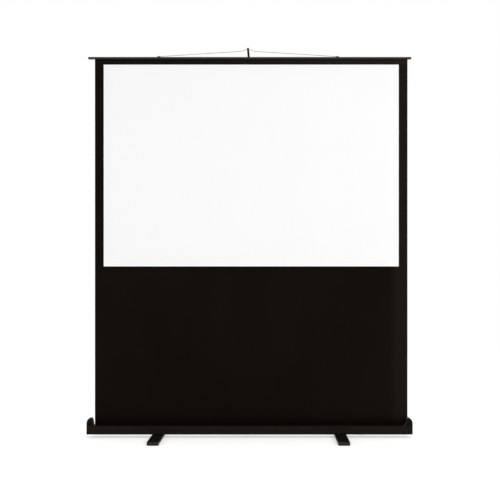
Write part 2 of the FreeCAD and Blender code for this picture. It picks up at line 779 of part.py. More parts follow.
def mast_knuckle():
    """The moulded foot of the mast: a rounded lug on the bolt and a plug in the tube."""
    half_t = KNUCKLE_T / 2
    lug = rod(KNUCKLE_R, V(0, -half_t, 0), V(0, half_t, 0))
    collar_start = LOWER_START - KNUCKLE_COLLAR_L
    neck = block(-KNUCKLE_R, KNUCKLE_R, -half_t, half_t, 0, collar_start)
    neck = neck.common(along_z(LOWER_R, 0, 0, 0, collar_start))
    collar = along_z(LOWER_R, 0, 0, collar_start, LOWER_START)
    plug = along_z(LOWER_R - TUBE_WALL - SEAT_FIT, 0, 0, LOWER_START, LOWER_START + KNUCKLE_PLUG_L)
    bore = rod(HINGE_BOLT_R + RUNNING_FIT, V(0, -half_t, 0), V(0, half_t, 0))
    return on_mast(fused([lug, neck, collar, plug]).cut(bore))


def mast_tube(radius, start, end):
    """One stage of the mast."""
    return on_mast(sleeve(radius, radius - TUBE_WALL, V(0, 0, start), V(0, 0, end)))


def guide_bush(outer_tube_r, inner_tube_r, start):
    """The bush at the foot of a sliding stage."""
    outer = outer_tube_r - TUBE_WALL - BUSH_SLIDE_FIT
    return on_mast(sleeve(outer, inner_tube_r + SEAT_FIT, V(0, 0, start), V(0, 0, start + GUIDE_L)))


def clamp_pin_y(tube_r):
    """How far behind the mast's axis a clamp's pin stands."""
    return tube_r + CLAMP_WALL + CLAMP_PIN_OUT


def clamp_collar(tube_r, inner_r, seat):
    """A split collar on the end of a tube, with two ears for the lever's pin."""
    outer_r = tube_r + CLAMP_WALL
    top = seat + CLAMP_RISE
    pin_y = clamp_pin_y(tube_r)
    body = along_z(outer_r, 0, 0, seat - CLAMP_GRIP, top)
    ends = [e for e in body.Edges if e.Curve.TypeId == "Part::GeomCircle"]
    body = body.makeChamfer(CLAMP_CHAMFER, ends)
    ears = []
    for base in (seat + EAR_INSET, top - EAR_INSET - EAR_T):
        ears.append(block(-EAR_R, EAR_R, tube_r, pin_y, base, base + EAR_T))
        ears.append(along_z(EAR_R, 0, pin_y, base, base + EAR_T))
    collar = fused([body] + ears)
    grip = along_z(tube_r + CLAMP_GRIP_FIT, 0, 0, seat - CLAMP_GRIP, seat)
    slide = along_z(inner_r + CLAMP_SLIDE_FIT, 0, 0, seat - CUT_OVER, top)
    split_x = EAR_R + SPLIT_OFFSET
    split = block(split_x, split_x + SPLIT_W, 0, outer_r + CUT_OVER, seat + EAR_INSET / 2, top)
    pin = along_z(CLAMP_PIN_R + SEAT_FIT, 0, pin_y, seat, top)
    return on_mast(collar.cut([grip, slide, split, pin]))


def clamp_pin(tube_r, seat):
    """The lever's pin."""
    low = seat + EAR_INSET
    high = seat + CLAMP_RISE - EAR_INSET
    return on_mast(along_z(CLAMP_PIN_R, 0, clamp_pin_y(tube_r), low, high))


def clamp_lever(tube_r, seat):
    """A curved lever that lies round the collar when shut, with a rounded grip at its end."""
    inner = tube_r + CLAMP_WALL + LEVER_GAP
    outer = inner + LEVER_T
    pin_y = clamp_pin_y(tube_r)
    ear_room = EAR_INSET + EAR_T + LEVER_GAP
    low = seat + ear_room
    high = seat + CLAMP_RISE - ear_room
    arm = Part.makeCylinder(outer, high - low, V(0, 0, low), Z_AXIS, LEVER_SWEEP)
    arm = arm.cut(along_z(inner, 0, 0, low, high))
    arm.rotate(ORIGIN, Z_AXIS, LEVER_START)
    hub = along_z(EAR_R - 2 * HOLE_PLAY, 0, pin_y, low, high)
    tip = math.radians(LEVER_START + LEVER_SWEEP)
    grip_r = LEVER_T / 2 + LEVER_GRIP_SWELL
    middle = inner + grip_r
    grip = along_z(grip_r, middle * math.cos(tip), middle * math.sin(tip), low, high)
    lever = fused([arm, hub, grip])
    return on_mast(lever.cut(along_z(CLAMP_PIN_R + RUNNING_FIT, 0, pin_y, low, high)))


FINGER_BASE = UPPER_END + HOOK_FLANGE_T
FINGER_TIP = V(
    -FINGER_L * math.sin(math.radians(FINGER_LEAN)),
    0,
    FINGER_BASE + FINGER_L * math.cos(math.radians(FINGER_LEAN)),
)
# Middle of the wire at the top of its bend, in the notch
WIRE_TOP = FINGER_TIP - V(0, 0, NOTCH_DEPTH - WIRE_R - HOLE_PLAY)


def mast_hook():
    """The hook: a plug, a flange and a leaning finger with a saddle notch for the wire."""
    lean = math.radians(FINGER_LEAN)
    direction = V(-math.sin(lean), 0, math.cos(lean))
    base = V(0, 0, FINGER_BASE)
    plug = along_z(UPPER_R - TUBE_WALL - SEAT_FIT, 0, 0, UPPER_END - HOOK_PLUG_L, UPPER_END)
    flange = along_z(HOOK_FLANGE_R, 0, 0, UPPER_END, FINGER_BASE)
    finger = rod(FINGER_R, base - direction * HOOK_FLANGE_T / 2, base + direction * FINGER_L)
    rim = [e for e in finger.Edges if e.BoundBox.ZMin > FINGER_TIP.z - FINGER_R]
    finger = finger.makeChamfer(FINGER_CHAMFER, rim)
    reach = 2 * FINGER_R
    top = FINGER_TIP.z + reach
    low = FINGER_TIP.z - reach
    x = FINGER_TIP.x
    notch = block(x - reach, x + reach, -NOTCH_W / 2, NOTCH_W / 2, low, top)
    saddle_r = HOOK_BEND_R - WIRE_R - HOLE_PLAY
    saddle_z = WIRE_TOP.z - HOOK_BEND_R
    saddle = rod(saddle_r, V(x, -NOTCH_W, saddle_z), V(x, NOTCH_W, saddle_z))
    return on_mast(fused([plug, flange, finger]).cut(notch.cut(saddle)))


# Hanger wire

def wire_route():
    """The wire's corner points: anchor, side of the hump, over the hook, side of the hump, anchor."""
    lean = math.radians(MAST_LEAN)
    hook_y = MAST_Y - WIRE_TOP.z * math.sin(lean)
    hook_z = HINGE_Z + WIRE_TOP.z * math.cos(lean)
    side_slope = math.atan2(HUMP_DROP, HUMP_HALF)
    corner_rise = HOOK_BEND_R * (1 / math.cos(side_slope) - 1)
    anchor_z = BAR_TOP + ANCHOR_HOLE_Z
    top_z = hook_z + corner_rise
    side_z = top_z - HUMP_DROP
    back = (hook_y - FABRIC_Y) / (hook_z - anchor_z)
    side_y = FABRIC_Y + (side_z - anchor_z) * back
    top_y = FABRIC_Y + (top_z - anchor_z) * back
    x = MAST_X + WIRE_TOP.x
    return [
        V(ANCHOR_X - ANCHOR_HALF, FABRIC_Y, anchor_z),
        V(x - HUMP_HALF, side_y, side_z),
        V(x, top_y, top_z),
        V(x + HUMP_HALF, side_y, side_z),
        V(ANCHOR_X + ANCHOR_HALF, FABRIC_Y, anchor_z),
    ]


def rounded_path(points, radii):
    """Straight runs joined by tangent arcs of the given radii."""
    edges = []
    start = points[0]
    for before, corner, after, radius in zip(points, points[1:], points[2:], radii):
        back = (before - corner).normalize()
        ahead = (after - corner).normalize()
        half = back.getAngle(ahead) / 2
        reach = radius / math.tan(half)
        middle = (back + ahead).normalize() * (radius / math.sin(half) - radius)
        first = corner + back * reach
        last = corner + ahead * reach
        edges.append(Part.LineSegment(start, first).toShape())
        edges.append(Part.Arc(first, corner + middle, last).toShape())
        start = last
    edges.append(Part.LineSegment(start, points[-1]).toShape())
    return Part.Wire(edges)


def hanger_wire():
    """The wire that hangs the bar on the hook."""
    radii = [HUMP_BEND_R, HOOK_BEND_R, HUMP_BEND_R]
    path = rounded_path(wire_route(), radii)
    start = path.Vertexes[0].Point
    run = path.Edges[0].tangentAt(path.Edges[0].FirstParameter)
    section = Part.Wire(Part.makeCircle(WIRE_R, start, run))
    wire = path.makePipeShell([section], True, False)
    area = math.pi * WIRE_R * WIRE_R
    print("hanger wire: length", round(path.Length, 1), "bend radii", radii)
    print("hanger wire: volume over section times length", round(wire.Volume / (area * path.Length), 4))
    return wire


def wire_anchor():
    """The right-hand anchor, drawn about X = 0: a low moulding that the wire's end is crimped into."""
    half_w = ANCHOR_W / 2
    half_base = ANCHOR_BASE_L / 2
    half_l = ANCHOR_L / 2
    y0 = FABRIC_Y - half_w
    y1 = FABRIC_Y + half_w
    base = block(-half_base, half_base, y0, y1, BAR_TOP, BAR_TOP + ANCHOR_BASE_T)
    base = base.makeFillet(half_w - 2 * HOLE_PLAY, straight_edges(base, Z_AXIS, lambda c: True))
    top = BAR_TOP + ANCHOR_H
    post = block(-half_l, half_l, y0 + ANCHOR_INSET, y1 - ANCHOR_INSET, BAR_TOP, top)
    crown = [e for e in post.Edges if e.CenterOfMass.z > top - NEAR]
    post = post.makeChamfer(ANCHOR_CHAMFER, crown)
    route = wire_route()
    run = (route[-1] - route[-2]).normalize()
    wire_end = V(0, FABRIC_Y, BAR_TOP + ANCHOR_HOLE_Z)
    hole = rod(WIRE_R + HOLE_PLAY, wire_end - run * ANCHOR_L, wire_end + run * 2 * HOLE_PLAY)
    screw_r = ANCHOR_SCREW_R + HOLE_PLAY
    base_top = BAR_TOP + ANCHOR_BASE_T + CUT_OVER
    places = (-ANCHOR_SCREW_X, ANCHOR_SCREW_X)
    holes = [along_z(screw_r, x, FABRIC_Y, BAR_TOP - CUT_OVER, base_top) for x in places]
    return fused([base, post]).cut([hole] + holes)


def at_anchor(shape, side):
    """An anchor piece moved to its end of the wire."""
    return shape.translated(V(ANCHOR_X + side * ANCHOR_HALF, 0, 0))


def wire_anchor_screws():
    """Two small screws in each anchor's base."""
    seat = BAR_TOP + ANCHOR_BASE_T
    head_r = ANCHOR_SCREW_HEAD_R
    head_t = ANCHOR_SCREW_HEAD_T
    screws = []
    for side in (-1, 1):
        for step in (-ANCHOR_SCREW_X, ANCHOR_SCREW_X):
            fixing = screw(V(step, FABRIC_Y, seat), -Z_AXIS, ANCHOR_BASE_T, head_r, head_t, ANCHOR_SCREW_R)
            screws.append(at_anchor(fixing, side))
    return joined(screws)


def build():
    """Every node of the object by name."""
    nodes = {
        "case_shell": case_shell(),
        "left_end_cap": left_end_cap(),
        "right_end_cap": right_end_cap(),
        "end_cap_screws": end_cap_screws(),
        "roller_bush": roller_bush(),
        "roller_tube": roller_tube(),
        "roller_idle_plug": roller_idle_plug(),
        "roller_spring_plug": roller_spring_plug(),
        "spring_anchor_plug": spring_anchor_plug(),
        "spring_shaft": spring_shaft(),
        "roller_spring": roller_spring(),
        "fabric_wrap": fabric_wrap(),
        "picture_sheet": picture_sheet(),
        "black_surround": black_surround(),
        "top_bar": top_bar(),
        "left_bar_cap": mirrored(right_bar_cap()),
        "right_bar_cap": right_bar_cap(),
        "fabric_top_rod": fabric_top_rod(),
        "left_wire_anchor": at_anchor(mirrored(wire_anchor()), -1),
        "right_wire_anchor": at_anchor(wire_anchor(), 1),
        "wire_anchor_screws": wire_anchor_screws(),
        "hanger_wire": hanger_wire(),
        "foot_pivot_bolts": foot_pivot_bolts(),
        "foot_pivot_nuts": foot_pivot_nuts(),
        "foot_pivot_washers": foot_pivot_washers(),
        "mast_bracket": mast_bracket(),
        "mast_bracket_screws": wall_screws(BRACKET_HOLES, BRACKET_REAR),
        "mast_pivot_bolt": mast_pivot_bolt(),
        "mast_rest": mast_rest(),
        "mast_rest_screws": wall_screws(REST_HOLES, REST_REAR),
        "mast_knuckle": mast_knuckle(),
        "mast_lower_tube": mast_tube(LOWER_R, LOWER_START, LOWER_END),
        "mast_middle_tube": mast_tube(MIDDLE_R, MIDDLE_START, MIDDLE_END),
        "mast_upper_tube": mast_tube(UPPER_R, UPPER_START, UPPER_END),
        "middle_guide_bush": guide_bush(LOWER_R, MIDDLE_R, MIDDLE_START),
        "upper_guide_bush": guide_bush(MIDDLE_R, UPPER_R, UPPER_START),
        "mast_hook": mast_hook(),
    }
    clamps = {"lower": (LOWER_R, MIDDLE_R, LOWER_END), "upper": (MIDDLE_R, UPPER_R, MIDDLE_END)}
    for name, (tube_r, inner_r, seat) in clamps.items():
        nodes[name + "_clamp_collar"] = clamp_collar(tube_r, inner_r, seat)
        nodes[name + "_clamp_pin"] = clamp_pin(tube_r, seat)
        nodes[name + "_clamp_lever"] = clamp_lever(tube_r, seat)
    for name, side in (("left", -1), ("right", 1)):
        nodes[name + "_foot_bar"] = at_foot(foot_bar(), side)
        nodes[name + "_foot_pivot_block"] = at_foot(foot_pivot_block(), side)
        nodes[name + "_foot_front_tip"] = at_foot(foot_tip(), side)
        nodes[name + "_foot_rear_tip"] = at_foot(rear_twin(foot_tip()), side)
        nodes[name + "_foot_pads"] = at_foot(joined([foot_pad(), rear_twin(foot_pad())]), side)
    return nodes


os.makedirs("parts", exist_ok=True)
for node, shape in build().items():
    if not shape.isValid() or shape.Volume <= 0:
        raise ValueError("bad solid: " + node)
    shape.exportStep("parts/" + node + ".step")
    print(node, len(shape.Solids), "solid(s)", round(shape.Volume / 1000, 2), "cm3")
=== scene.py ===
import math

import bpy
import numpy as np
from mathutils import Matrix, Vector


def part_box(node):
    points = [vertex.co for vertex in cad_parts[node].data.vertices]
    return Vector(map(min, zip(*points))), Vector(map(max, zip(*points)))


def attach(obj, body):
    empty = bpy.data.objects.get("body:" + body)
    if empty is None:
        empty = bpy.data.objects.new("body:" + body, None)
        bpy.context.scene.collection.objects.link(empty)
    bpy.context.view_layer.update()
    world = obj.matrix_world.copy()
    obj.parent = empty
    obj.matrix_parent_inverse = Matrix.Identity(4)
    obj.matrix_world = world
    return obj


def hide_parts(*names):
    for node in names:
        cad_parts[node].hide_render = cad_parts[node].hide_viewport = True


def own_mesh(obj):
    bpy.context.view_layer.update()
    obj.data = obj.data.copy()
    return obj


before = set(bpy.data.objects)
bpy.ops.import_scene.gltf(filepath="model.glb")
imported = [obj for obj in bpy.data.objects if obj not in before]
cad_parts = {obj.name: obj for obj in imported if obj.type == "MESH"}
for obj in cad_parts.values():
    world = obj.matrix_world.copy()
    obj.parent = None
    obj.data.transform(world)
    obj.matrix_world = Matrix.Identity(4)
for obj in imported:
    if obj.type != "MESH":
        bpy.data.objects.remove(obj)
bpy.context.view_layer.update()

# A floor-standing pull-up projection screen, in metres: +X right, +Y back, +Z up.

# Places read from the frame
picture_low, picture_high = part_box("picture_sheet")
fabric_low, fabric_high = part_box("black_surround")
case_low, case_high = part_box("case_shell")
bar_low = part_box("top_bar")[0]
cap_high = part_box("right_end_cap")[1]
tip_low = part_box("right_foot_front_tip")[0]

# Fabric: its place, its grid, the curl of its edges, its swells, and the share left of it when rolled up
FABRIC_X = (fabric_low.x + fabric_high.x) / 2
FABRIC_Y = (fabric_low.y + fabric_high.y) / 2
FABRIC_HALF_W = (fabric_high.x - fabric_low.x) / 2
FABRIC_T = fabric_high.y - fabric_low.y
GRID_STEP = 0.015
EDGE_STRIP = 0.11
EDGE_CURL = 0.002
SWELL = 0.0007
SWELL_PITCH = 0.41
HOLD_POWER = 0.6

# Weave, and the tones of the black cloth: the way over which each comes in, and its share once it is there.
# The tones are painted sheen on the right edge and top border and painted shade at the slot. The top
# border's share grows from its left end to its right end.
THREADS_PER_METRE = 1000.0
RIGHT_FADE = 0.055
RIGHT_SHARE = 0.8
TOP_FADE = 0.006
TOP_SHARES = (0.15, 0.95)
SLOT_FADE = 0.07
SLOT_SHARE = 0.7

# Black plastic: its shine, and the tones of its flow marks
BLACK_PLASTIC = {
    "specular": 0.09,
    "dark": (0.0054, 0.0045, 0.0038),
    "light": (0.0086, 0.0073, 0.0064),
}

# Rubbed edges: rays per point, the cosines of the lean at which the rub starts and is full, and how much
# lighter than its light tone a moulding gets there
EDGE_RAYS = 4
EDGE_LEAN = (0.99, 0.8)
EDGE_GAIN = 2.2

# Tones on the end caps, by where they start, are full, begin to fall and end: a painted highlight on the
# flare, in from the cap's end and up from the case's top, and painted shade in the dish, back from the
# case's front. The painted dish shade comes in over a short way up from the case's top.
FLARE_INWARD = (0.036, 0.044, 0.050, 0.062)
FLARE_UPWARD = (-0.002, 0.004, 0.014, 0.026)
FLARE_SHARE = 0.8
DISH_BACKWARD = (0.003, 0.006, 0.0095, 0.0105)
DISH_FADE = 0.002

# Where the painted highlight on the crown starts and is full, below the cap's top, and its share, and where
# the painted shade on the foot tips starts and is full, above their underside
CROWN_HIGHLIGHT = (0.014, 0.003)
CROWN_SHARE = 0.85
TIP_SHADE = (0.010, 0.005)

# Hanger wire: its route from anchor to anchor, over the hook
WIRE_ROUTE = [
    (-0.5020, 0.01525, 2.0936),
    (-0.0539, 0.02497, 2.1251),
    (-0.0409, 0.02525, 2.1260),
    (-0.0164, 0.02985, 2.1410),
    (-0.0044, 0.02985, 2.1410),
    (0.0201, 0.02525, 2.1260),
    (0.0331, 0.02497, 2.1251),
    (0.4840, 0.01525, 2.0936),
]
WIRE_R = 0.0011
WIRE_STRANDS = 6
STRAND_DEPTH = 0.2
STRAND_LAY = 0.016
WIRE_RING_STEP = 0.0012
WIRE_SIDES = 24
WIRE_SPLINE_STEPS = 200

# Screw heads: radius and height, and the cross recess as shares of them
CAP_SCREW = (0.0035, 0.0023)
WALL_SCREW = (0.0036, 0.0022)
ANCHOR_SCREW = (0.0024, 0.0012)
ANCHOR_SCREW_PITCH = 0.018
HEAD_RINGS = 14
HEAD_SIDES = 48
HEAD_FALL = 0.45
CROSS_HALF_W = 0.13
CROSS_REACH = 0.56
CROSS_DEPTH = 0.6
CROSS_EDGE = 0.07

# Pivot bolt of the mast: its head, its shank, clear of the bore's facets, and the hexagon socket
BOLT_HEAD_T = 0.004
BOLT_CHAMFER = 0.0012
BOLT_SHANK_R = 0.0038
SOCKET_HALF_W = 0.003
SOCKET_DEPTH = 0.0026
SOCKET_TAPER = 0.96

# Camera: a level view from in front, with the frame shifted as the photograph's is
CAMERA_PLACE = (0.095, -4.185, 0.890)
FRAME_PIXELS = 500
FOCAL_PIXELS = 762.05
AXIS_PIXEL = (267.0, 275.0)
SENSOR_MM = 36.0

# Light: each lamp has a place, a size and a level, the brightness that it gives a white face turned to it
WORLD_LEVEL = 0.6
FLOOR_GLOW = 0.42
FLOOR_WHITE = 0.96
FLOOR_NEAR = 2.4
FLOOR_FAR = 6.5
FLOOR_HALF = 9.0
LAMP_TARGET = (0.0, 0.0, 1.1)
LAMPS = {
    "key_lamp": ((2.7, -3.9, 2.1), 1.6, 0.27),
    "fill_lamp": ((-2.9, -3.7, 1.7), 2.2, 0.17),
    "top_lamp": ((0.3, 0.5, 5.2), 2.6, 0.22),
}


# Finishes


class Finish:
    """A material under construction: a Principled shader and the nodes that feed it."""

    def __init__(self, name, specular, metallic=0.0):
        self.material = bpy.data.materials.new(name)
        self.material.use_nodes = True
        self.tree = self.material.node_tree
        self.tree.nodes.clear()
        self.shader = self.tree.nodes.new("ShaderNodeBsdfPrincipled")
        output = self.tree.nodes.new("ShaderNodeOutputMaterial")
        self.tree.links.new(self.shader.outputs["BSDF"], output.inputs["Surface"])
        self.shader.inputs["Specular IOR Level"].default_value = specular
        self.shader.inputs["Metallic"].default_value = metallic
        self.place = self.tree.nodes.new("ShaderNodeTexCoord").outputs["Object"]

    def feed(self, socket, value):
        """Link a socket to an output, or set it to a constant."""
        if isinstance(value, bpy.types.NodeSocket):
            self.tree.links.new(value, socket)
        else:
            socket.default_value = value

    def add(self, kind, settings):
        """A node with its inputs set by name or number."""
        node = self.tree.nodes.new(kind)
        for name, value in settings.items():
            self.feed(node.inputs[name], value)
        return node

    def math(self, operation, *values):
        """One arithmetic step."""
        node = self.tree.nodes.new("ShaderNodeMath")
        node.operation = operation
        for socket, value in zip(node.inputs, values):
            self.feed(socket, value)
        return node.outputs["Value"]

    def ramp(self, value, start, end, low=0.0, high=1.0):
        """A value carried smoothly from one range to another."""
        names = ("Value", "From Min", "From Max", "To Min", "To Max")
        node = self.add("ShaderNodeMapRange", dict(zip(names, (value, start, end, low, high))))
        node.interpolation_type = "SMOOTHSTEP"
        return node.outputs["Result"]

    def stretched(self, scale):
        """The object's coordinates, stretched by a scale along each axis."""
        return self.add("ShaderNodeMapping", {"Vector": self.place, "Scale": scale}).outputs["Vector"]

    def noise(self, per_metre, detail=3.0, along=(1.0, 1.0, 1.0)):
        """Noise of so many lumps per metre, drawn out along an axis by a smaller scale there.

        It runs from 0 to 1, mostly between 0.3 and 0.7, so the stops of a ramp on it lie about there.
        """
        where = self.stretched(along)
        settings = {"Vector": where, "Scale": per_metre, "Detail": detail}
        return self.add("ShaderNodeTexNoise", settings).outputs["Fac"]

    def pits(self, per_metre):
        """Rounded pits, so many per metre."""
        settings = {"Vector": self.place, "Scale": per_metre}
        return self.add("ShaderNodeTexVoronoi", settings).outputs["Distance"]

    def axis(self, name):
        """One of the object's coordinates."""
        return self.add("ShaderNodeSeparateXYZ", {"Vector": self.place}).outputs[name]

    def band(self, value, start, full, fall, end):
        """1 between full and fall, and smoothly down to 0 at start and end."""
        return self.math("MULTIPLY", self.ramp(value, start, full), self.ramp(value, end, fall))

    def edges(self, width):
        """1 along edges and 0 on open ground, by how far a rounded normal leans from the surface's own."""
        rounded = self.add("ShaderNodeBevel", {"Radius": width})
        rounded.samples = EDGE_RAYS
        own = self.tree.nodes.new("ShaderNodeNewGeometry").outputs["Normal"]
        agree = self.add("ShaderNodeVectorMath", {0: rounded.outputs["Normal"], 1: own})
        agree.operation = "DOT_PRODUCT"
        return self.ramp(agree.outputs["Value"], *EDGE_LEAN)

    def wear(self, patches, start, end, width):
        """Rubbed edges of a width, where patchy noise lets them show."""
        return self.math("MULTIPLY", self.edges(width), self.ramp(patches, start, end))

    def mix(self, share, first, second):
        """From one colour to another by a share."""
        node = self.tree.nodes.new("ShaderNodeMix")
        node.data_type = "RGBA"
        self.feed(node.inputs[0], share)
        ends = [socket for socket in node.inputs if socket.type == "RGBA"]
        for socket, colour in zip(ends, (first, second)):
            self.feed(socket, colour if isinstance(colour, bpy.types.NodeSocket) else (*colour, 1.0))
        return [socket for socket in node.outputs if socket.type == "RGBA"][0]

    def scaled(self, colour, share):
        """A colour made lighter or darker by a share of itself."""
        node = self.add("ShaderNodeVectorMath", {0: colour, 3: share})
        node.operation = "SCALE"
        return node.outputs["Vector"]

    def colour(self, value):
        """Set the base colour."""
        self.feed(self.shader.inputs["Base Color"], value)

    def painted(self):
        """The base colour so far."""
        return self.shader.inputs["Base Color"].links[0].from_socket

    def rough(self, share, low, high):
        """Roughness between two values by a share."""
        self.feed(self.shader.inputs["Roughness"], self.ramp(share, 0.0, 1.0, low, high))

    def bump(self, height, strength, depth):
        """Fine relief, given as a height from 0 to 1 and its depth in metres."""
        settings = {"Height": height, "Strength": strength, "Distance": depth}
        self.feed(self.shader.inputs["Normal"], self.add("ShaderNodeBump", settings).outputs["Normal"])


def powder_coat():
    """Black powder coat: an orange-peel skin, slightly dulled patches and edges rubbed lighter."""
    hollow = (0.0046, 0.0030, 0.0022)
    crest = (0.0172, 0.0130, 0.0102)
    rubbed = (0.020, 0.017, 0.015)
    finish = Finish("powder_coat", specular=0.07)
    peel = finish.noise(per_metre=900.0)
    patches = finish.noise(per_metre=7.0, detail=4.0)
    skin = finish.mix(finish.ramp(peel, 0.45, 0.75), hollow, crest)
    finish.colour(finish.mix(finish.wear(patches, 0.4, 0.65, width=0.0012), skin, rubbed))
    finish.rough(patches, low=0.42, high=0.62)
    finish.bump(peel, strength=0.35, depth=0.0002)
    return finish.material


def anodised_bar():
    """Black anodised extrusion: die lines along the bar, a satin sheen and paler edges."""
    dark = (0.0165, 0.0130, 0.0105)
    light = (0.0245, 0.0200, 0.0170)
    rubbed = (0.046, 0.041, 0.037)
    finish = Finish("anodised_bar", specular=0.22)
    lines = finish.noise(per_metre=1400.0, detail=2.0, along=(0.004, 1.0, 1.0))
    patches = finish.noise(per_metre=5.0)
    skin = finish.mix(finish.ramp(lines, 0.35, 0.7), dark, light)
    finish.colour(finish.mix(finish.wear(patches, 0.35, 0.65, width=0.0010), skin, rubbed))
    finish.rough(patches, low=0.34, high=0.5)
    finish.bump(lines, strength=0.25, depth=0.0001)
    return finish.material


def moulding(name, specular, dark, light):
    """Moulded plastic: spark-eroded grain, cloudy flow marks and edges rubbed lighter."""
    finish = Finish(name, specular)
    grain = finish.pits(per_metre=1500.0)
    flow = finish.noise(per_metre=24.0, detail=4.0, along=(1.0, 1.0, 0.5))
    skin = finish.mix(finish.ramp(flow, 0.3, 0.7), dark, light)
    skin = finish.scaled(skin, finish.ramp(grain, 0.15, 0.75, low=1.2, high=0.6))
    rubbed = tuple(EDGE_GAIN * channel for channel in light)
    finish.colour(finish.mix(finish.wear(flow, 0.35, 0.65, width=0.0010), skin, rubbed))
    finish.rough(flow, low=0.40, high=0.56)
    finish.bump(grain, strength=0.3, depth=0.00015)
    return finish


def black_moulding():
    """The plain black mouldings: the bar's caps and anchors, the mast's hook and rest, the feet's blocks."""
    return moulding("black_moulding", **BLACK_PLASTIC).material


def mast_moulding():
    """The mast's knuckle, collars and levers: a charcoal moulding."""
    dark = (0.0210, 0.0203, 0.0198)
    light = (0.0330, 0.0320, 0.0312)
    return moulding("mast_moulding", 0.25, dark, light).material


def tip_moulding():
    """The foot tips: a charcoal moulding, with painted shade along its lower edge."""
    dark = (0.0140, 0.0133, 0.0133)
    light = (0.0225, 0.0216, 0.0216)
    painted_tip_shade = (0.0040, 0.0036, 0.0036)
    finish = moulding("tip_moulding", 0.2, dark, light)
    # painted shade: the tip darkens towards its underside
    height = finish.math("SUBTRACT", finish.axis("Z"), tip_low.z)
    finish.colour(finish.mix(finish.ramp(height, *TIP_SHADE), finish.painted(), painted_tip_shade))
    return finish.material


def cap_moulding():
    """The end caps: a painted highlight on the tongue's flare and crown, and painted shade in its dish."""
    painted_flare_highlight = (0.036, 0.033, 0.031)
    painted_crown_highlight = (0.058, 0.054, 0.052)
    painted_dish_shade = (0.0016, 0.0010, 0.0008)
    finish = moulding("cap_moulding", **BLACK_PLASTIC)
    inward = finish.math("SUBTRACT", cap_high.x, finish.math("ABSOLUTE", finish.axis("X")))
    above = finish.math("SUBTRACT", finish.axis("Z"), case_high.z)
    behind = finish.math("SUBTRACT", finish.axis("Y"), case_low.y)
    # painted highlight on the tongue's flare
    flare = finish.math("MULTIPLY", finish.band(inward, *FLARE_INWARD), finish.band(above, *FLARE_UPWARD))
    skin = finish.mix(finish.math("MULTIPLY", flare, FLARE_SHARE), finish.painted(), painted_flare_highlight)
    # painted highlight along the tongue's crown
    start, full = (cap_high.z - below for below in CROWN_HIGHLIGHT)
    crown = finish.ramp(finish.axis("Z"), start, full, high=CROWN_SHARE)
    skin = finish.mix(crown, skin, painted_crown_highlight)
    # painted shade inside the dish
    dish = finish.math("MULTIPLY", finish.band(behind, *DISH_BACKWARD), finish.ramp(above, 0.0, DISH_FADE))
    finish.colour(finish.mix(dish, skin, painted_dish_shade))
    return finish.material


def zinc_steel():
    """Zinc-plated steel with a slightly mottled, bluish sheen."""
    bluish = (0.42, 0.43, 0.445)
    pale = (0.52, 0.52, 0.52)
    finish = Finish("zinc_steel", specular=0.5, metallic=1.0)
    mottle = finish.noise(per_metre=420.0, detail=4.0)
    finish.colour(finish.mix(finish.ramp(mottle, 0.35, 0.65), bluish, pale))
    finish.rough(mottle, low=0.28, high=0.46)
    finish.bump(mottle, strength=0.15, depth=0.0001)
    return finish.material


def dark_wire():
    """Dark oiled steel wire, uneven from strand to strand."""
    oiled = (0.012, 0.011, 0.010)
    bare = (0.040, 0.038, 0.036)
    finish = Finish("dark_wire", specular=0.3, metallic=0.6)
    strands = finish.noise(per_metre=600.0)
    finish.colour(finish.mix(finish.ramp(strands, 0.35, 0.65), oiled, bare))
    finish.rough(strands, low=0.36, high=0.52)
    finish.bump(strands, strength=0.2, depth=0.0001)
    return finish.material


def drawn_tube():
    """Black anodised tube: drawing lines along the tube and faint rub marks from sliding."""
    dark = (0.0190, 0.0180, 0.0172)
    light = (0.0310, 0.0296, 0.0284)
    rubbed = (0.064, 0.062, 0.060)
    finish = Finish("drawn_tube", specular=0.3)
    lines = finish.noise(per_metre=1300.0, detail=2.0, along=(1.0, 1.0, 0.006))
    rubs = finish.noise(per_metre=30.0, detail=4.0, along=(1.0, 1.0, 0.12))
    skin = finish.mix(finish.ramp(lines, 0.3, 0.7), dark, light)
    finish.colour(finish.mix(finish.ramp(rubs, 0.6, 0.75, high=0.5), skin, rubbed))
    finish.rough(rubs, low=0.3, high=0.52)
    finish.bump(lines, strength=0.2, depth=0.0001)
    return finish.material


def dull_rubber():
    """Dull black rubber with a fine dusty grain."""
    clean = (0.008, 0.008, 0.008)
    dusty = (0.020, 0.019, 0.018)
    finish = Finish("dull_rubber", specular=0.2)
    dust = finish.noise(per_metre=700.0, detail=4.0)
    finish.colour(finish.mix(finish.ramp(dust, 0.4, 0.75), clean, dusty))
    finish.rough(dust, low=0.78, high=0.95)
    finish.bump(dust, strength=0.4, depth=0.0002)
    return finish.material


def natural_nylon():
    """Natural nylon: warm white with cloudy flow."""
    warm = (0.62, 0.60, 0.54)
    pale = (0.74, 0.72, 0.67)
    finish = Finish("natural_nylon", specular=0.4)
    cloud = finish.noise(per_metre=60.0)
    finish.colour(finish.mix(finish.ramp(cloud, 0.3, 0.7), warm, pale))
    finish.rough(cloud, low=0.4, high=0.55)
    finish.bump(cloud, strength=0.1, depth=0.0001)
    return finish.material


def weave(finish):
    """Warp and weft of a fine cloth as a height from 0 to 1: half of one plus the product of two sines."""
    waves = [
        finish.math("SINE", finish.math("MULTIPLY", finish.axis(name), 2 * math.pi * THREADS_PER_METRE))
        for name in ("X", "Z")
    ]
    return finish.math("MULTIPLY_ADD", finish.math("MULTIPLY", *waves), 0.5, 0.5)


